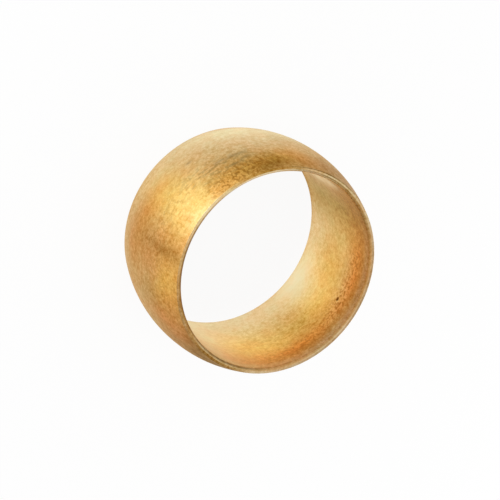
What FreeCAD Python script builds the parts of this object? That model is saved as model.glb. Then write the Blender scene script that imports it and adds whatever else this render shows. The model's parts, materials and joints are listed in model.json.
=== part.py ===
"""Compression olive: a one-piece turned ring with a plain bore and a barrel-shaped outside.

The ring slides over a tube and is squeezed between the cones of a fitting and its nut.
It stands on one end: +Z runs along the bore, and the origin is on the axis at the lower end.
"""

import FreeCAD, Part
import os

import Sketcher

# Driving dimensions, in millimetres.
SIZES = [
    ("tube_diameter", 15.0),  # outside of the tube that the ring slides over
    ("slip_clearance", 0.05),  # radial gap between the tube and the bore
    ("ring_length", 9.5),  # from end to end, along the axis
    ("crown_wall", 1.2),  # wall at mid-length, where the barrel is widest
    ("rim_land", 0.1),  # flat ring left at each end
    ("bore_edge_radius", 0.25),  # rounding between the bore and each end
    ("rim_edge_radius", 0.05),  # rounding between the barrel and each end
]

LABEL = "olive"
BORE_RADIUS = "sizes.tube_diameter / 2 + sizes.slip_clearance"
END_WALL = "sizes.bore_edge_radius + sizes.rim_land + sizes.rim_edge_radius"
SAME_PLACE = 1e-6
ORIGIN_POINT = (-1, 1)
START, END, CENTRE = 1, 2, 3


def add_sizes(doc):
    """Puts each driving dimension in a cell of its own, under its name."""
    sheet = doc.addObject("Spreadsheet::Sheet", "sizes")
    for row, (name, value) in enumerate(SIZES, start=1):
        sheet.set(f"A{row}", name)
        sheet.set(f"B{row}", str(value))
        sheet.setAlias(f"B{row}", name)
    doc.recompute()
    return sheet


def add_section(body, sheet):
    """Half of the ring's section: bore, upper end, barrel arc and lower end."""
    bore = sheet.tube_diameter / 2 + sheet.slip_clearance
    rim = bore + sheet.bore_edge_radius + sheet.rim_land + sheet.rim_edge_radius
    crown = bore + sheet.crown_wall
    top = sheet.ring_length

    def point(radius, height):
        return FreeCAD.Vector(radius, height, 0)

    section = body.newObject("Sketcher::SketchObject", "section")
    plane = next(p for p in body.Origin.OriginFeatures if p.Role == "XZ_Plane")
    section.AttachmentSupport = [(plane, "")]
    section.MapMode = "FlatFace"

    wall = section.addGeometry(Part.LineSegment(point(bore, 0), point(bore, top)))
    upper = section.addGeometry(Part.LineSegment(point(bore, top), point(rim, top)))
    barrel = section.addGeometry(Part.Arc(point(rim, 0), point(crown, top / 2), point(rim, top)))
    lower = section.addGeometry(Part.LineSegment(point(rim, 0), point(bore, 0)))
    widest = section.addGeometry(Part.Point(point(crown, top / 2)), True)

    def join(first, first_end, second, second_end):
        section.addConstraint(Sketcher.Constraint("Coincident", first, first_end, second, second_end))

    def measure(kind, expression, *points):
        index = section.addConstraint(Sketcher.Constraint(kind, *points, 1.0))
        section.setExpression(f"Constraints[{index}]", expression)

    join(wall, END, upper, START)
    join(upper, END, barrel, END)
    join(barrel, START, lower, START)
    join(lower, END, wall, START)
    section.addConstraint(Sketcher.Constraint("Vertical", wall))
    section.addConstraint(Sketcher.Constraint("Horizontal", upper))
    section.addConstraint(Sketcher.Constraint("PointOnObject", wall, START, -1))
    section.addConstraint(Sketcher.Constraint("Horizontal", lower))
    section.addConstraint(Sketcher.Constraint("Equal", upper, lower))
    section.addConstraint(Sketcher.Constraint("PointOnObject", widest, START, barrel))
    section.addConstraint(Sketcher.Constraint("Horizontal", barrel, CENTRE, widest, START))
    measure("DistanceX", BORE_RADIUS, *ORIGIN_POINT, wall, START)
    measure("DistanceY", "sizes.ring_length", wall, START, wall, END)
    measure("DistanceX", END_WALL, upper, START, upper, END)
    measure("DistanceX", "sizes.crown_wall", wall, START, widest, START)
    return section


def turn(body, section):
    """Turns the section once round the axis."""
    ring = body.newObject("PartDesign::Revolution", "turned_ring")
    ring.Profile = section
    ring.ReferenceAxis = (section, ["V_Axis"])
    ring.Angle = 360
    return ring


def end_edges(shape, radius):
    """Names of the circular edges of that radius, one at each end of the ring."""
    return [
        f"Edge{number}"
        for number, edge in enumerate(shape.Edges, start=1)
        if isinstance(edge.Curve, Part.Circle) and abs(edge.Curve.Radius - radius) < SAME_PLACE
    ]


def round_edges(doc, body, base, name, radius, size):
    """Rounds the two end edges of that radius with the named size."""
    doc.recompute()
    fillet = body.newObject("PartDesign::Fillet", name)
    fillet.Base = (base, end_edges(base.Shape, radius))
    fillet.setExpression("Radius", f"sizes.{size}")
    return fillet


def build_olive(doc, sheet):
    """The whole ring: turned section, then rounded bore edges and rim edges."""
    body = doc.addObject("PartDesign::Body", LABEL)
    body.Label = LABEL
    section = add_section(body, sheet)
    ring = turn(body, section)
    bore = sheet.tube_diameter / 2 + sheet.slip_clearance
    rim = bore + sheet.bore_edge_radius + sheet.rim_land + sheet.rim_edge_radius
    inner = round_edges(doc, body, ring, "bore_edges", bore, "bore_edge_radius")
    round_edges(doc, body, inner, "rim_edges", rim, "rim_edge_radius")
    doc.recompute()
    return body


def check(doc, bodies):
    """Stops if anything in the document failed, or a sub-part has no sound solid."""
    for item in doc.Objects:
        if {"Invalid", "Error"} & set(item.State):
            raise RuntimeError(f"{item.Label} failed: {item.State}")
    for body in bodies:
        if body.Shape.isNull() or not body.Shape.isValid() or len(body.Shape.Solids) != 1:
            raise RuntimeError(f"{body.Label} is not one sound solid")


def main():
    doc = FreeCAD.newDocument("compression_olive")
    sheet = add_sizes(doc)
    bodies = [build_olive(doc, sheet)]
    check(doc, bodies)
    os.makedirs("parts", exist_ok=True)
    for body in bodies:
        body.Shape.exportStep(f"parts/{body.Label}.step")
        box = body.Shape.optimalBoundingBox()
        print(f"{body.Label}: {box.XLength:.3f} x {box.YLength:.3f} x {box.ZLength:.3f} mm, "
              f"{body.Shape.Volume:.2f} mm3")


main()
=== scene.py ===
import json
import math

import bpy
import numpy as np
from mathutils import Matrix, Vector


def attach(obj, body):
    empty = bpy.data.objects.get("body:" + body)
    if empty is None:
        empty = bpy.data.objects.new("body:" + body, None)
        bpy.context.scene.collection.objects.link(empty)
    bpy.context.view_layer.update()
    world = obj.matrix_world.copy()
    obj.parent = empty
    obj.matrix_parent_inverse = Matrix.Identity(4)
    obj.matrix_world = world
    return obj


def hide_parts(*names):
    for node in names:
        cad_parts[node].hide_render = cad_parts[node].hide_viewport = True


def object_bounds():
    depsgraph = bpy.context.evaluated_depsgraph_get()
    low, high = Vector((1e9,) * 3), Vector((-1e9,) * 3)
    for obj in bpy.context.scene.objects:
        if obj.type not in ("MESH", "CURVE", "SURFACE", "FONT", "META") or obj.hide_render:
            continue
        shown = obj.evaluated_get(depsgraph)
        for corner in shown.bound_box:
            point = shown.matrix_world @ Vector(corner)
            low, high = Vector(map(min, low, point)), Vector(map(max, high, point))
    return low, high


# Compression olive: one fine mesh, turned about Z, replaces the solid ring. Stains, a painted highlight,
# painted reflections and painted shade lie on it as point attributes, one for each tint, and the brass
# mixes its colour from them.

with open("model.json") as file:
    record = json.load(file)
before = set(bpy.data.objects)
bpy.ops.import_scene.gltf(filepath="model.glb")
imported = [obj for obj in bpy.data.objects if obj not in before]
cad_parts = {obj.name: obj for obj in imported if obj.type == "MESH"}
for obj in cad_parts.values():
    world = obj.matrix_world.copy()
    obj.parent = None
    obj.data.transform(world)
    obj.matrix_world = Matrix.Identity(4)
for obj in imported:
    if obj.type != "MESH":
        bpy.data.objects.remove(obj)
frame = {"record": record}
cad_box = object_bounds()

MM = 0.001
SEED = 11

# Sizes of the ring, in millimetres. The frame gives the bore and the length, and the others are as in
# the part's own source.
bore_mount = next(mount for mount in frame["record"]["mounts"] if mount["name"] == "bore")
BORE_RADIUS = bore_mount["dims"]["r_mm"]
LENGTH = round((cad_box[1].z - cad_box[0].z) / MM, 3)
CROWN_WALL = 1.2
END_WALL = 0.4
BORE_EDGE = 0.25
RIM_EDGE = 0.05

# How finely the ring's surface is divided.
COLUMNS = 360
BORE_ROWS = 84
BORE_EDGE_ROWS = 10
LAND_ROWS = 3
RIM_EDGE_ROWS = 5
BARREL_ROWS = 100

# The zones of the section.
BORE, LAND, RIM, BARREL = range(4)

# The camera that was fitted to the photograph: distances in millimetres, tilt from the ring's axis and
# roll in radians, and as centre the pixel where the middle of the ring lies.
IMAGE_PIXELS = 500
SENSOR_MM = 36.0
FOCAL_PIXELS = 2337.5
CAMERA_DISTANCE = 172.6
TILT = 0.5831
ROLL = 2.2293
CENTRE_X = 248.84
CENTRE_Y = 249.40
NEAREST_SEEN = 1
FARTHEST_SEEN = 10_000

# A small pit in the bore, in degrees and millimetres, and its flat floor as a share of its radius.
PIT_ANGLE = 188.5
PIT_HEIGHT = 7.06
PIT_RADIUS = 0.13
PIT_DEPTH = 0.07
PIT_FLOOR = 0.25

# Finer lines of the mesh cross the pit: how many, how far they reach, and how close to them an even line
# may lie, both as shares of the pit's radius.
PIT_LINES = 15
PIT_LINES_REACH = 1.3
PIT_LINES_APART = 0.3

# Turning marks, by pitch and depth (millimetres), and how they wander along the ring: times round it,
# reach (millimetres) and phase (radians).
BARREL_MARKS = ((0.47, 0.0012), (0.71, 0.0010), (1.13, 0.0012))
BORE_MARKS = ((0.63, 0.0010), (0.97, 0.0012))
MARK_WANDER = ((1, 0.05, 1.1), (2, 0.03, 0.4))

# Random fields: how many waves, their most turns round the ring and their pitch along it (millimetres),
# and the shares between which the pitch varies.
SWELL_WAVES = (10, 5, 4.0)
CLOUD_WAVES = (14, 7, 5.0)
GLOW_WAVES = (12, 9, 4.0)
PITCH_SHARES = (0.8, 2.5)

# The swell's depth and its middle level, and the distances from an end over which all relief sets in,
# in millimetres.
SWELL_DEPTH = 0.003
SWELL_MIDDLE = 1.5
RELIEF_START = (0.02, 0.3)

# The metal's own colour, its tint at a glancing angle, and the tints that lie over it, all linear. Some
# tints are partly a painted highlight, painted reflection and painted shade.
GOLD = (0.60, 0.335, 0.094, 1)
GLANCING = (0.93, 0.82, 0.66, 1)
TINTS = {
    # Painted highlight: the bright yellow patch on the barrel under its upper rim.
    "painted_highlight": (0.99, 0.69, 0.150, 1),
    # Bright warm gold, partly a painted highlight on the barrel and a painted reflection in the bore.
    "honey_and_painted_sheen": (0.99, 0.61, 0.140, 1),
    # Pale clean brass: mostly painted reflection, part of the painted highlight, and drifting clouds of
    # paler tone.
    "pale_and_painted_reflection": (0.98, 0.86, 0.54, 1),
    "amber": (0.79, 0.25, 0.036, 1),
    # Dark ochre: partly tarnish, partly painted shade in the dark band beside the highlight.
    "ochre_and_painted_shade": (0.56, 0.27, 0.014, 1),
    "olive": (0.44, 0.30, 0.070, 1),
    # Dull tan on the lips and land, and painted shade at one edge of the highlight.
    "buff_and_painted_shade": (0.48, 0.32, 0.175, 1),
    # Dark brown: dirt in the pit and tarnish, and painted shade in the dark bands and lines near the rims.
    "umber_and_painted_shade": (0.26, 0.12, 0.014, 1),
    "grime": (0.12, 0.09, 0.045, 1),
}

# Dark pepper, warmer in the bore, and olive specks, which only some places have. A third mark says where
# the bore is smooth.
PEPPER = (0.30, 0.13, 0.012, 1)
BORE_PEPPER = (0.44, 0.155, 0.018, 1)
SPECK = (0.27, 0.19, 0.060, 1)
MARKS = ("pepper", "speck", "smooth")

# What the fine grain does to the colour, from its dark spots to its light ones, and what the patches of
# warmer and cooler brass do to it.
DARK_GRAIN = (0.68, 0.54, 0.20, 1)
LIGHT_GRAIN = (1.26, 1.40, 1.82, 1)
WARM = (1.02, 0.985, 0.96, 1)
COOL = (0.98, 1.015, 1.01, 1)

# How much stronger or weaker the grain shows where a tint lies.
GRAIN_GAINS = {"painted_highlight": -0.5, "honey_and_painted_sheen": -0.3, "pale_and_painted_reflection": -0.8, "ochre_and_painted_shade": 0.5, "umber_and_painted_shade": 0.8}

# Noise patterns of the metal: scale per millimetre, detail and roughness.
GRAIN_NOISE = (2.8, 2.0, 0.95)
MOTTLE_NOISE = (0.9, 2.0, 0.6)
STREAK_NOISE = (1.0, 2.0, 0.6)
HUE_NOISE = (0.7, 2.0, 0.6)
DOT_NOISE = (4.6, 1.0, 0.5)
SPECK_NOISE = (1.0, 2.0, 0.6)

# How tightly the streaks and the specks are squeezed along each axis.
STREAK_SQUEEZE = (0.5, 0.5, 6.0)
SPECK_SQUEEZE = (2.0, 2.0, 4.0)

# The middle level of noise, and the levels between which the cooler hue, the dots of pepper and the
# specks set in.
NOISE_MIDDLE = 0.5
HUE_LEVELS = (0.35, 0.65)
DOT_LEVELS = (0.50, 0.61)
SPECK_LEVELS = (0.48, 0.64)

# How strongly the patterns act on the stains, the colour, the roughness and the bumps, and the height of
# the bumps in millimetres.
MOTTLE_ON_STAINS = 0.7
STREAK_ON_STAINS = 0.3
GRAIN_ON_COLOUR = 1.7
STREAK_ON_COLOUR = 0.25
MOTTLE_ON_ROUGHNESS = 0.2
STREAK_ON_BUMPS = 0.5
BUMP_HEIGHT = 0.007

# Roughness of the barrel and of the bore, and the distances from an end (millimetres) over which the bore
# turns smooth.
BARREL_ROUGHNESS = 0.55
BORE_ROUGHNESS = 0.34
SMOOTH_START = (0.1, 0.8)

# Stains, placed one by one: angle and height of the middle, spread each way (degrees, millimetres),
# strength.
# Besides stains, these hold a painted highlight, painted reflections and painted shade. The sides that
# the photograph doesn't show have guessed wear of the same kind.
# On the barrel, the bright patches near 0 degrees under the upper rim are a painted highlight, the pale
# patches low down are painted reflection, and the dark band beside the highlight, the dark side near 90
# degrees and the dull dab at the highlight's rim edge are partly painted shade.
BARREL_STAINS_AND_PAINTED_LIGHT = {
    # The painted highlight.
    "painted_highlight": [(1, 6.5, 10, 3.5, 0.62)],
    "honey_and_painted_sheen": [(1, 6.0, 11, 3.5, 0.10), (41, 8.7, 8, 1.0, 0.50), (-24, 8.9, 12, 0.9, 0.34),
              (46, 7.6, 6, 0.7, 0.15), (-60, 7.8, 8, 0.8, 0.25), (188, 5.6, 16, 3.2, 0.50),
              (128, 6.5, 10, 2.4, 0.30), (238, 4.8, 12, 2.6, 0.35)],
    "pale_and_painted_reflection": [(-58, 2.4, 27, 3.1, 0.88), (-6, 1.2, 38, 1.8, 0.32), (0, 9.4, 9, 0.4, 0.22),
             (0, 8.2, 8, 1.1, 0.10), (64, 5.8, 9, 2.0, 0.12), (-14, 5.2, 10, 1.6, 0.14),
             (48, 1.4, 12, 1.2, 0.16), (39, 6.4, 5, 1.0, 0.10), (212, 2.2, 24, 2.6, 0.50),
             (142, 1.6, 18, 2.0, 0.35)],
    "amber": [(-66, 8.5, 9, 0.7, 0.24), (75, 8.9, 5, 0.9, 0.42), (27, 5.4, 12, 2.0, 0.36),
              (66, 8.0, 7, 1.2, 0.26), (62, 5.6, 8, 1.6, 0.16), (166, 7.2, 9, 1.4, 0.20),
              (-18, 8.9, 5, 0.5, 0.36), (-58, 7.2, 7, 0.8, 0.12)],
    "ochre_and_painted_shade": [(-44, 8.5, 16, 0.7, 0.70), (36, 5.0, 9, 1.4, 0.15), (-28, 5.4, 10, 1.0, 0.10),
              (46, 8.6, 8, 0.9, 0.10), (228, 8.4, 15, 0.8, 0.40), (152, 8.6, 14, 0.8, 0.30),
              (-57, 7.2, 7, 0.8, 0.13)],
    "olive": [(-18, 3.0, 12, 2.4, 0.16), (-30, 7.4, 11, 0.7, 0.30)],
    "buff_and_painted_shade": [(-95, 8.8, 14, 1.5, 0.70), (80, 7.8, 12, 2.2, 0.40), (5, 8.7, 3.5, 0.6, 0.20)],
    "umber_and_painted_shade": [(-43, 8.9, 8, 0.6, 0.50), (-54, 9.1, 8, 0.5, 0.20), (-76, 9.0, 7, 0.7, 0.20),
              (26, 7.8, 2.8, 1.6, 0.42), (91, 9.0, 11, 1.8, 0.80), (75, 9.4, 6, 0.5, 0.25),
              (28, 4.2, 8, 1.8, 0.13), (52, 6.0, 6, 1.2, 0.10)],
    "grime": [(104, 9.2, 8, 1.2, 0.25), (-15, 4.4, 1.2, 0.12, 0.38), (-33, 6.7, 3.5, 0.14, 0.36),
              (-30, 7.7, 2.0, 0.12, 0.40), (-24, 6.6, 2.0, 0.12, 0.32), (-37, 7.4, 2.5, 0.14, 0.26)],
    "pepper": [(-34, 8.7, 14, 0.8, 0.78), (-18, 8.8, 5, 0.5, 0.30), (18, 6.6, 16, 1.6, 0.22),
               (60, 8.0, 25, 1.5, 0.20), (222, 8.4, 18, 0.9, 0.45)],
    "speck": [(-28, 7.4, 12, 0.8, 0.45), (-12, 6.4, 14, 1.0, 0.26)],
}
# In the bore, the pale far end, the bright gold middle and the pale crescent near 260 degrees are painted
# reflection, and the darker brown band under the upper edge is partly painted shade.
BORE_STAINS_AND_PAINTED_LIGHT = {
    "honey_and_painted_sheen": [(116, 5.0, 24, 2.9, 0.98), (182, 4.0, 11, 3.0, 0.82), (206, 4.8, 13, 2.6, 0.46),
              (150, 5.8, 11, 2.4, 0.22), (224, 4.4, 8, 3.2, 0.30), (182, 0.8, 20, 1.8, 0.80),
              (136, 7.3, 16, 0.7, 0.30), (128, 9.3, 14, 0.25, 0.45), (262, 5.0, 3, 1.6, 0.50),
              (330, 4.6, 22, 2.8, 0.60), (28, 4.4, 20, 3.0, 0.65), (280, 9.2, 8, 0.25, 0.80)],
    "pale_and_painted_reflection": [(136, 0.0, 44, 2.2, 0.74), (182, 1.1, 12, 1.7, 0.42), (222, 1.2, 12, 2.0, 0.38),
             (104, 4.4, 11, 3.6, 0.46), (260, 4.2, 3, 1.4, 0.85), (264, 6.7, 3, 0.8, 0.95),
             (130, 9.25, 16, 0.35, 0.34), (180, 9.30, 36, 0.08, 0.26), (180, 9.5, 36, 0.03, 0.60),
             (96, 9.2, 10, 0.2, 0.16), (80, 9.1, 5, 0.25, 0.60), (97, 7.4, 6, 0.8, 0.40),
             (186, 5.0, 9, 1.2, 0.12), (276, 4.6, 7, 2.4, 0.40), (350, 0.0, 34, 2.0, 0.55),
             (46, 0.6, 18, 2.2, 0.50), (283, 9.25, 7, 0.15, 0.35), (248, 9.3, 8, 0.15, 0.22)],
    "amber": [(146, 8.1, 17, 0.7, 0.50), (206, 8.1, 18, 0.8, 0.44), (185, 8.1, 45, 0.9, 0.38),
              (116, 8.3, 12, 0.7, 0.42), (210, 6.6, 9, 0.8, 0.15), (236, 8.6, 10, 0.5, 0.25),
              (126, 7.1, 14, 0.6, 0.20), (328, 8.1, 24, 0.8, 0.45), (22, 8.0, 26, 0.8, 0.50),
              (115, 6.4, 7, 0.8, 0.15)],
    "ochre_and_painted_shade": [(163, 4.0, 11, 3.2, 0.26), (240, 5.5, 10, 2.6, 0.34), (254, 8.0, 10, 1.0, 0.56),
              (356, 5.4, 9, 2.6, 0.25)],
    "olive": [(241, 2.6, 8, 2.4, 0.60), (246, 5.0, 7, 2.0, 0.30), (226, 4.0, 7, 2.6, 0.15)],
    "buff_and_painted_shade": [(190, 9.05, 40, 0.25, 0.45), (0, 9.05, 40, 0.25, 0.40)],
    "umber_and_painted_shade": [(164, 7.2, 8, 1.8, 0.08), (190, 8.5, 42, 0.38, 0.40), (152, 8.5, 10, 0.3, 0.20),
              (245, 7.8, 11, 1.6, 0.36), (98, 9.43, 13, 0.03, 0.55), (118, 9.48, 14, 0.05, 0.28)],
    "pepper": [(195, 7.8, 30, 0.8, 0.60), (150, 7.9, 20, 0.7, 0.35), (5, 7.8, 32, 0.8, 0.45),
               (202, 7.5, 22, 0.7, 0.34)],
}

# Stains of both ends, and of their rims alone: angle of the middle and spread (degrees), strength. The
# bright patches on the land are partly a painted highlight and painted reflection, and the rim's dark line
# near 282 degrees is painted shade.
END_STAINS_AND_PAINTED_LIGHT = {
    "honey_and_painted_sheen": [(-12, 16, 0.60)],
    "pale_and_painted_reflection": [(268, 14, 0.45), (14, 16, 0.25), (-6, 11, 0.65), (152, 24, 0.50), (120, 8, 0.30),
             (236, 12, 0.50), (288, 10, 0.25)],
    "ochre_and_painted_shade": [(-42, 14, 0.40)],
    "buff_and_painted_shade": [(185, 34, 0.70), (150, 20, 0.25), (222, 16, 0.30), (60, 12, 0.40)],
    "umber_and_painted_shade": [(62, 12, 0.20), (-46, 10, 0.20), (93, 12, 0.85)],
}
RIM_PAINTED_SHADE = {"umber_and_painted_shade": [(282, 14, 0.80)]}

# Lines along the bore's edges: tint, angle of the middle and spread (degrees), distances from the end
# over which the line fades (millimetres), strength. The dark line near 282 degrees is painted shade and
# the pale one near -34 degrees is a painted reflection.
EDGE_LINES = (
    ("umber_and_painted_shade", 282, 14, 0.00, 0.05, 0.85),
    ("grime", 30, 26, 0.05, 0.14, 0.50),
    ("pale_and_painted_reflection", -34, 28, 0.10, 0.25, 0.95),
)

# Dirt in the pit: tint, shares of the pit's radius over which it fades, strength.
PIT_STAINS = (
    ("umber_and_painted_shade", 0.9, 1.5, 1.00),
    ("grime", 0.4, 0.9, 0.50),
)

# How strongly the drifting clouds of pale and amber show.
CLOUD_STRENGTH = 0.06

# The room as metal sees it: dim gaps between its pale walls, by azimuth, elevation, inner and outer
# reach (degrees) and level. The ambient level is what the room gives as light.
ROOM_GAPS = (
    (0, 57, 20, 60, 0.75),
    (115, 15, 8, 45, 0.35),
    (250, 15, 8, 50, 0.35),
)
AMBIENT = 0.95

# Two strip lamps, level with the ring and facing it: azimuth (degrees) and radiance of each, and the
# place and size of both, in degrees and millimetres.
LAMPS = {"key": (4, 8.8), "back": (195, 8.0)}
LAMP_ELEVATION = 0
LAMP_DISTANCE = 60
LAMP_WIDTH = 40
LAMP_HEIGHT = 9

# The floor: how far it reaches (metres), how white it is to the eye and in reflections, and its albedo.
FLOOR_REACH = 3.0
FLOOR_SEEN = 0.92
FLOOR_MIRRORED = 0.96
FLOOR_ALBEDO = 0.9


def arc(centre, radius, start, stop, rows, zone):
    """Rows of the section along an arc, without its last point: radius, height, normal and zone."""
    return [(centre[0] + radius * math.cos(t), centre[1] + radius * math.sin(t),
             math.cos(t), math.sin(t), zone)
            for t in np.linspace(start, stop, rows, endpoint=False)]


def section():
    """The ring's section, once round from the bore's upper edge: radius, height, normal and zone."""
    sag = CROWN_WALL - END_WALL
    half = LENGTH / 2
    barrel_radius = (sag ** 2 + half ** 2) / (2 * sag)
    barrel_centre = (BORE_RADIUS + CROWN_WALL - barrel_radius, half)
    slope = math.asin(half / barrel_radius)
    corner = BORE_RADIUS + END_WALL
    cut_back = RIM_EDGE * math.tan((math.pi / 2 - slope) / 2)
    rim_centre = (corner - cut_back, LENGTH - RIM_EDGE)
    bore_edge_centre = (BORE_RADIUS + BORE_EDGE, LENGTH - BORE_EDGE)
    barrel_end = math.asin((rim_centre[1] + RIM_EDGE * math.sin(slope) - half) / barrel_radius)

    upper = arc(bore_edge_centre, BORE_EDGE, math.pi, math.pi / 2, BORE_EDGE_ROWS, BORE)
    for radius in np.linspace(bore_edge_centre[0], rim_centre[0], LAND_ROWS, endpoint=False):
        upper.append((radius, LENGTH, 0.0, 1.0, LAND))
    upper += arc(rim_centre, RIM_EDGE, math.pi / 2, slope, RIM_EDGE_ROWS, RIM)
    upper += arc(barrel_centre, barrel_radius, barrel_end, 0, BARREL_ROWS // 2, BARREL)
    crown = (BORE_RADIUS + CROWN_WALL, half, 1.0, 0.0, BARREL)
    lower = [(r, LENGTH - z, nr, -nz, zone) for r, z, nr, nz, zone in upper[::-1]]
    wall = [(BORE_RADIUS, z, -1.0, 0.0, BORE) for z in bore_heights()]
    return np.array(upper + [crown] + lower + wall)


def with_pit_lines(even, middle, width):
    """Even lines with finer ones across the pit, and without the even ones that lie too close to those."""
    near = middle + np.linspace(-1, 1, PIT_LINES) * width * PIT_LINES_REACH
    apart = even[np.min(np.abs(even[:, None] - near), axis=1) > width * PIT_LINES_APART]
    return np.sort(np.concatenate([apart, near]))


def bore_heights():
    """Heights of the bore wall's rows."""
    even = np.linspace(BORE_EDGE, LENGTH - BORE_EDGE, BORE_ROWS)[1:-1]
    return with_pit_lines(even, PIT_HEIGHT, PIT_RADIUS)


def column_angles():
    """Angles of the columns round the ring."""
    even = np.linspace(0, 2 * math.pi, COLUMNS, endpoint=False)
    return with_pit_lines(even, math.radians(PIT_ANGLE), PIT_RADIUS / BORE_RADIUS)


def rise(value, low, high):
    """Rises smoothly from 0 at low to 1 at high."""
    t = np.clip((value - low) / (high - low), 0, 1)
    return t * t * (3 - 2 * t)


def fall(value, low, high):
    """Falls smoothly from 1 at low to 0 at high."""
    return 1 - rise(value, low, high)


def bell(distance, spread):
    """1 at no distance, fading over a spread."""
    return np.exp(-0.5 * (distance / spread) ** 2)


def turn_from(angle, at):
    """Degrees from one angle round the ring, the short way."""
    return (np.degrees(angle) - at + 180) % 360 - 180


def from_end(height):
    """Distance from the nearer end of the ring."""
    return np.minimum(height, LENGTH - height)


def pit_reach(angle, height):
    """Distance from the middle of the pit, as a share of its radius."""
    across = np.radians(turn_from(angle, PIT_ANGLE)) * BORE_RADIUS
    return np.hypot(across, height - PIT_HEIGHT) / PIT_RADIUS


def waves(rng, angle, height, count, most_turns, pitch):
    """A gentle random field on the ring, about -1 to 1, with no seam."""
    total = np.zeros_like(angle)
    for _ in range(count):
        turns = rng.integers(1, most_turns + 1)
        phase = rng.uniform(0, 2 * math.pi)
        length = pitch * rng.uniform(*PITCH_SHARES)
        total += np.cos(turns * angle + phase + height * 2 * math.pi / length)
    return total / math.sqrt(count)


def relief(rng, angle, height, zone):
    """How far the surface lies under the plain form, in millimetres."""
    barrel = zone == BARREL
    bore = zone == BORE
    depth = np.zeros_like(angle)
    wander = sum(reach * np.cos(times * angle + phase) for times, reach, phase in MARK_WANDER)
    surfaces = ((barrel, BARREL_MARKS, height + wander), (bore, BORE_MARKS, height - wander))
    for where, marks, along in surfaces:
        for pitch, deep in marks:
            mark = 0.5 + 0.5 * np.cos(2 * math.pi * along / pitch + rng.uniform(0, 2 * math.pi))
            depth += np.where(where, deep * mark, 0)
    swell = (SWELL_MIDDLE + waves(rng, angle, height, *SWELL_WAVES)).clip(0)
    depth += np.where(barrel | bore, SWELL_DEPTH * swell, 0)
    depth += np.where(bore, PIT_DEPTH * fall(pit_reach(angle, height), PIT_FLOOR, 1.0), 0)
    return depth * rise(from_end(height), *RELIEF_START)


def stains_and_painted_light(rng, angle, height, zone):
    """Strength, 0 to 1, of each tint and each mark on the surface, a painted highlight, painted reflection
    and painted shade among them.
    """
    barrel = zone == BARREL
    bore = zone == BORE
    rim = zone == RIM
    land = zone == LAND
    tints = {name: np.zeros_like(angle) for name in (*TINTS, *MARKS)}

    def add(name, where, strength):
        """Adds to a tint in some places only."""
        tints[name] += np.where(where, strength, 0)

    for where, places in ((barrel, BARREL_STAINS_AND_PAINTED_LIGHT), (bore, BORE_STAINS_AND_PAINTED_LIGHT)):
        for name, spots in places.items():
            for at, up, wide, tall, strength in spots:
                add(name, where, strength * bell(turn_from(angle, at), wide) * bell(height - up, tall))

    cloud = CLOUD_STRENGTH * waves(rng, angle, height, *CLOUD_WAVES)
    glow = CLOUD_STRENGTH * waves(rng, angle, height, *GLOW_WAVES)
    add("pale_and_painted_reflection", barrel | bore, cloud)
    add("amber", barrel | bore, glow - cloud)

    for where, places in ((land | rim, END_STAINS_AND_PAINTED_LIGHT), (rim, RIM_PAINTED_SHADE)):
        for name, spots in places.items():
            for at, wide, strength in spots:
                add(name, where, strength * bell(turn_from(angle, at), wide))

    end = from_end(height)
    for name, at, wide, full, gone, strength in EDGE_LINES:
        add(name, bore, strength * bell(turn_from(angle, at), wide) * fall(end, full, gone))
    for name, full, gone, strength in PIT_STAINS:
        add(name, bore, strength * fall(pit_reach(angle, height), full, gone))
    add("smooth", bore, rise(end, *SMOOTH_START))
    return {name: field.clip(0, 1) for name, field in tints.items()}


def lathe(name):
    """The ring as a closed mesh: its section turned about Z, with its relief, its stains and its painted
    light.
    """
    rng = np.random.default_rng(SEED)
    profile = section()
    angles = column_angles()
    rows, columns = len(profile), len(angles)
    angle = np.repeat(angles[:, None], rows, axis=1)
    radius, height, normal_r, normal_z, zone = (np.tile(c, (columns, 1)) for c in profile.T)
    depth = relief(rng, angle, height, zone)
    r = radius - depth * normal_r
    z = height - depth * normal_z
    points = np.stack([r * np.cos(angle), r * np.sin(angle), z], axis=-1).reshape(-1, 3) * MM
    column, row = np.meshgrid(np.arange(columns), np.arange(rows), indexing="ij")
    beyond, above = (column + 1) % columns, (row + 1) % rows
    quads = np.stack([column * rows + row, column * rows + above,
                      beyond * rows + above, beyond * rows + row], axis=-1).reshape(-1, 4)
    mesh = bpy.data.meshes.new(name)
    mesh.from_pydata(points.tolist(), [], quads.tolist())
    mesh.update()
    mesh.shade_smooth()
    for tint, field in stains_and_painted_light(rng, angle, height, zone).items():
        layer = mesh.attributes.new(tint, "FLOAT", "POINT")
        layer.data.foreach_set("value", field.astype(np.float32).ravel())
    ring = bpy.data.objects.new(name, mesh)
    bpy.context.scene.collection.objects.link(ring)
    return ring


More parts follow.
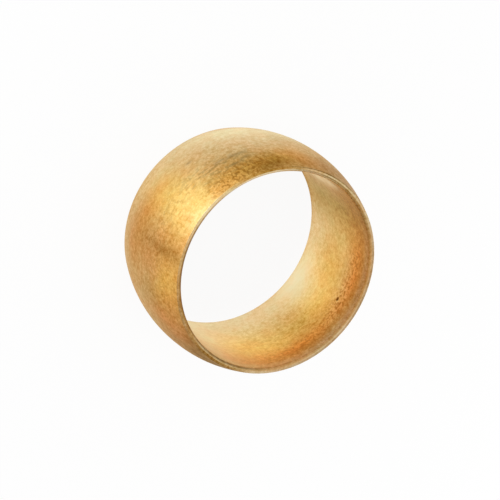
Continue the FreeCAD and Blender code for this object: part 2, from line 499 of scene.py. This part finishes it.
class Nodes:
    """Short calls for building a node tree. What they take may be a socket or a plain value."""

    # The Mix node's sockets for colours. Those for numbers have the same names.
    MIX_FIRST = 6
    MIX_SECOND = 7
    MIX_RESULT = 2

    def __init__(self, tree):
        self.tree = tree

    def put(self, value, socket):
        """Links a socket, or sets a plain value."""
        if isinstance(value, bpy.types.NodeSocket):
            self.tree.links.new(value, socket)
        else:
            socket.default_value = value

    def math(self, operation, first, second, clamp=False):
        node = self.tree.nodes.new("ShaderNodeMath")
        node.operation = operation
        node.use_clamp = clamp
        self.put(first, node.inputs[0])
        self.put(second, node.inputs[1])
        return node.outputs[0]

    def vector_math(self, operation, first, second, result):
        node = self.tree.nodes.new("ShaderNodeVectorMath")
        node.operation = operation
        self.put(first, node.inputs[0])
        self.put(second, node.inputs[1])
        return node.outputs[result]

    def ramp(self, value, low, high, start=0.0, stop=1.0):
        """Goes smoothly from start to stop while the value goes from low to high."""
        node = self.tree.nodes.new("ShaderNodeMapRange")
        node.interpolation_type = "SMOOTHSTEP"
        self.put(value, node.inputs["Value"])
        self.put(low, node.inputs["From Min"])
        self.put(high, node.inputs["From Max"])
        self.put(start, node.inputs["To Min"])
        self.put(stop, node.inputs["To Max"])
        return node.outputs["Result"]

    def noise(self, vector, scale, detail, roughness):
        node = self.tree.nodes.new("ShaderNodeTexNoise")
        self.put(vector, node.inputs["Vector"])
        self.put(scale, node.inputs["Scale"])
        self.put(detail, node.inputs["Detail"])
        self.put(roughness, node.inputs["Roughness"])
        return node.outputs["Fac"]

    def attribute(self, name):
        node = self.tree.nodes.new("ShaderNodeAttribute")
        node.attribute_name = name
        return node.outputs["Fac"]

    def mix(self, share, first, second, blend="MIX"):
        """Mixes two colours. A product of two is kept within 0 to 1."""
        node = self.tree.nodes.new("ShaderNodeMix")
        node.data_type = "RGBA"
        node.blend_type = blend
        node.clamp_result = blend == "MULTIPLY"
        self.put(share, node.inputs["Factor"])
        self.put(first, node.inputs[self.MIX_FIRST])
        self.put(second, node.inputs[self.MIX_SECOND])
        return node.outputs[self.MIX_RESULT]

    def bump(self, height, distance):
        node = self.tree.nodes.new("ShaderNodeBump")
        self.put(distance, node.inputs["Distance"])
        self.put(height, node.inputs["Height"])
        return node.outputs["Normal"]

    def rays(self):
        """1 for what the eye sees, and 1 for what metal or glass shows."""
        path = self.tree.nodes.new("ShaderNodeLightPath").outputs
        mirrored = self.math("MAXIMUM", path["Is Glossy Ray"], path["Is Transmission Ray"])
        return path["Is Camera Ray"], mirrored


def brass():
    """Satin turned brass with fine grain, turning streaks, uneven tarnish and a painted highlight, painted
    reflection and painted shade.
    """
    material = bpy.data.materials.new("brass")
    material.use_nodes = True
    tree = material.node_tree
    n = Nodes(tree)
    shader = tree.nodes["Principled BSDF"].inputs
    shader["Metallic"].default_value = 1.0
    shader["Specular Tint"].default_value = GLANCING

    place = tree.nodes.new("ShaderNodeTexCoord").outputs["Object"]

    def squeezed(shares):
        """The place in millimetres, times a share along each axis."""
        return n.vector_math("MULTIPLY", place, [share / MM for share in shares], "Vector")

    def about_zero(noise):
        """The noise with its middle level moved to 0."""
        return n.math("SUBTRACT", noise, NOISE_MIDDLE)

    at = squeezed((1, 1, 1))
    grain = about_zero(n.noise(at, *GRAIN_NOISE))
    mottle = about_zero(n.noise(at, *MOTTLE_NOISE))
    streak = about_zero(n.noise(squeezed(STREAK_SQUEEZE), *STREAK_NOISE))

    uneven = n.math("ADD", n.math("MULTIPLY", mottle, MOTTLE_ON_STAINS),
                    n.math("MULTIPLY", streak, STREAK_ON_STAINS))
    uneven = n.math("ADD", uneven, 1.0)
    colour = GOLD
    shares = {}
    for name, tint in TINTS.items():
        shares[name] = n.math("MULTIPLY", n.attribute(name), uneven, clamp=True)
        colour = n.mix(shares[name], colour, tint)

    contrast = 1.0
    for name, gain in GRAIN_GAINS.items():
        contrast = n.math("ADD", contrast, n.math("MULTIPLY", shares[name], gain))
    fine = n.math("ADD", n.math("MULTIPLY", grain, GRAIN_ON_COLOUR),
                  n.math("MULTIPLY", streak, STREAK_ON_COLOUR))
    fine = n.math("ADD", NOISE_MIDDLE, n.math("MULTIPLY", fine, contrast), clamp=True)
    colour = n.mix(1.0, colour, n.mix(fine, DARK_GRAIN, LIGHT_GRAIN), "MULTIPLY")
    hue = n.ramp(n.noise(at, *HUE_NOISE), *HUE_LEVELS)
    colour = n.mix(1.0, colour, n.mix(hue, WARM, COOL), "MULTIPLY")

    smooth = n.attribute("smooth")
    dots = n.ramp(n.noise(at, *DOT_NOISE), *DOT_LEVELS)
    pepper = n.mix(smooth, PEPPER, BORE_PEPPER)
    colour = n.mix(n.math("MULTIPLY", dots, n.attribute("pepper")), colour, pepper)
    specks = n.ramp(n.noise(squeezed(SPECK_SQUEEZE), *SPECK_NOISE), *SPECK_LEVELS)
    colour = n.mix(n.math("MULTIPLY", specks, n.attribute("speck")), colour, SPECK)
    n.put(colour, shader["Base Color"])

    rough = n.math("ADD", BARREL_ROUGHNESS, n.math("MULTIPLY", mottle, MOTTLE_ON_ROUGHNESS))
    smoother = n.math("MULTIPLY", smooth, BARREL_ROUGHNESS - BORE_ROUGHNESS)
    n.put(n.math("SUBTRACT", rough, smoother), shader["Roughness"])

    height = n.math("ADD", grain, n.math("MULTIPLY", streak, STREAK_ON_BUMPS))
    n.put(n.bump(height, BUMP_HEIGHT * MM), shader["Normal"])
    return material


def white_floor():
    """Mostly plain white to the eye and in reflections, with a share of the shadow left."""
    material = bpy.data.materials.new("white_floor")
    material.use_nodes = True
    tree = material.node_tree
    tree.nodes.clear()
    n = Nodes(tree)
    out = tree.nodes.new("ShaderNodeOutputMaterial")
    mix = tree.nodes.new("ShaderNodeMixShader")
    diffuse = tree.nodes.new("ShaderNodeBsdfDiffuse")
    diffuse.inputs["Color"].default_value = (FLOOR_ALBEDO, FLOOR_ALBEDO, FLOOR_ALBEDO, 1)
    glow = tree.nodes.new("ShaderNodeEmission")
    seen, mirrored = n.rays()
    share = n.math("ADD", n.math("MULTIPLY", seen, FLOOR_SEEN),
                   n.math("MULTIPLY", mirrored, FLOOR_MIRRORED))
    n.put(share, mix.inputs[0])
    n.put(diffuse.outputs[0], mix.inputs[1])
    n.put(glow.outputs[0], mix.inputs[2])
    n.put(mix.outputs[0], out.inputs["Surface"])
    return material


def floor():
    """A wide white floor at the ring's foot."""
    mesh = bpy.data.meshes.new("floor")
    corners = [(x * FLOOR_REACH, y * FLOOR_REACH, 0) for x, y in ((-1, -1), (1, -1), (1, 1), (-1, 1))]
    mesh.from_pydata(corners, [], [(0, 1, 2, 3)])
    plane = bpy.data.objects.new("floor", mesh)
    bpy.context.scene.collection.objects.link(plane)
    plane.data.materials.append(white_floor())


def towards(azimuth, elevation):
    """The unit vector at an azimuth and an elevation, in degrees."""
    a, e = math.radians(azimuth), math.radians(elevation)
    return Vector((math.cos(a) * math.cos(e), math.sin(a) * math.cos(e), math.sin(e)))


def white_world():
    """White to the eye. As light it has the ambient level, and metal sees the room with its gaps."""
    world = bpy.data.worlds.new("white")
    bpy.context.scene.world = world
    world.use_nodes = True
    tree = world.node_tree
    n = Nodes(tree)
    background = tree.nodes["Background"].inputs
    background["Color"].default_value = (1, 1, 1, 1)
    direction = tree.nodes.new("ShaderNodeTexCoord").outputs["Generated"]
    room = 1.0
    for azimuth, elevation, inner, outer, level in ROOM_GAPS:
        facing = n.vector_math("DOT_PRODUCT", direction, towards(azimuth, elevation), "Value")
        edge = math.cos(math.radians(outer))
        core = math.cos(math.radians(inner))
        room = n.math("MULTIPLY", room, n.ramp(facing, edge, core, 1.0, level))
    seen, mirrored = n.rays()
    strength = n.math("ADD", n.math("MULTIPLY", mirrored, room),
                      n.math("MULTIPLY", n.math("SUBTRACT", 1.0, mirrored), AMBIENT))
    strength = n.math("ADD", n.math("MULTIPLY", n.math("SUBTRACT", 1.0, seen), strength), seen)
    n.put(strength, background["Strength"])


def strip_lamp(name, azimuth, radiance):
    """A wide, low area lamp that faces the middle of the ring."""
    light = bpy.data.lights.new(name, "AREA")
    light.shape = "RECTANGLE"
    light.size = LAMP_WIDTH * MM
    light.size_y = LAMP_HEIGHT * MM
    light.energy = radiance * math.pi * LAMP_WIDTH * LAMP_HEIGHT * MM * MM
    lamp = bpy.data.objects.new(name, light)
    bpy.context.scene.collection.objects.link(lamp)
    way = towards(azimuth, LAMP_ELEVATION)
    lamp.location = Vector((0, 0, LENGTH / 2 * MM)) + way * LAMP_DISTANCE * MM
    lamp.rotation_mode = "QUATERNION"
    lamp.rotation_quaternion = way.to_track_quat("Z", "Y")
    lamp.visible_camera = False


def camera():
    """The photograph's view: the ring's upper end turned towards the lower right."""
    data = bpy.data.cameras.new("camera")
    data.sensor_width = SENSOR_MM
    data.lens = FOCAL_PIXELS / IMAGE_PIXELS * SENSOR_MM
    data.clip_start = NEAREST_SEEN * MM
    data.clip_end = FARTHEST_SEEN * MM
    eye = bpy.data.objects.new("camera", data)
    bpy.context.scene.collection.objects.link(eye)
    back = Vector((math.sin(TILT), 0, math.cos(TILT)))
    upright = Vector((-math.cos(TILT), 0, math.sin(TILT)))
    level = Vector((0, 1, 0))
    right = math.cos(ROLL) * level + math.sin(ROLL) * upright
    up = -math.sin(ROLL) * level + math.cos(ROLL) * upright
    pixel = CAMERA_DISTANCE / FOCAL_PIXELS
    offset = right * (IMAGE_PIXELS / 2 - CENTRE_X) + up * (CENTRE_Y - IMAGE_PIXELS / 2)
    place = Vector((0, 0, LENGTH / 2)) + back * CAMERA_DISTANCE + offset * pixel
    turn = Matrix((right, up, back)).transposed()
    eye.matrix_world = Matrix.Translation(place * MM) @ turn.to_4x4()
    bpy.context.scene.camera = eye


ring = lathe("olive_ring")
ring.data.materials.append(brass())
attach(ring, "root")
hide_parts("olive")

floor()
white_world()
for lamp_name, (lamp_azimuth, lamp_radiance) in LAMPS.items():
    strip_lamp(lamp_name, lamp_azimuth, lamp_radiance)
camera()
bpy.context.scene.view_settings.view_transform = "Standard"
